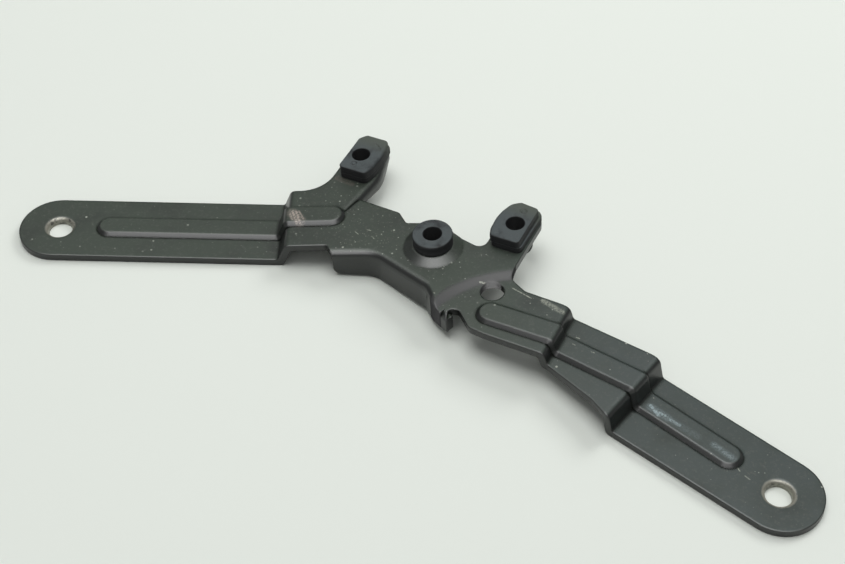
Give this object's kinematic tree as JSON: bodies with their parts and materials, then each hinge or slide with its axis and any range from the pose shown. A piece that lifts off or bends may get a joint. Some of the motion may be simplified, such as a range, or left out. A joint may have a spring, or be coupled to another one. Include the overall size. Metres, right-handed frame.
{
  "type": "speedometer bracket",
  "caption": "Stepped sheet-steel bracket that carries a motorcycle's speedometer on rubber mounts and bolts down by a hole at the end of each arm.",
  "frame": {"origin": "centre of the left arm's bolt hole, at the underside of the arm", "axes": "+Z is normal to both arms, from their underside to the side that carries the instrument; +X runs along the left arm towards the deck; +Y is away from the right arm's side"},
  "size_m": [0.2264, 0.1334, 0.018],
  "materials": {
    "painted_steel": "satin black paint on pressed steel",
    "pad_rubber": "dusty black rubber"
  },
  "bodies": {
    "root": {"bracket": "painted_steel", "ear_pad_left": "pad_rubber", "ear_pad_right": "pad_rubber", "centre_grommet": "pad_rubber"}
  },
  "joints": []
}
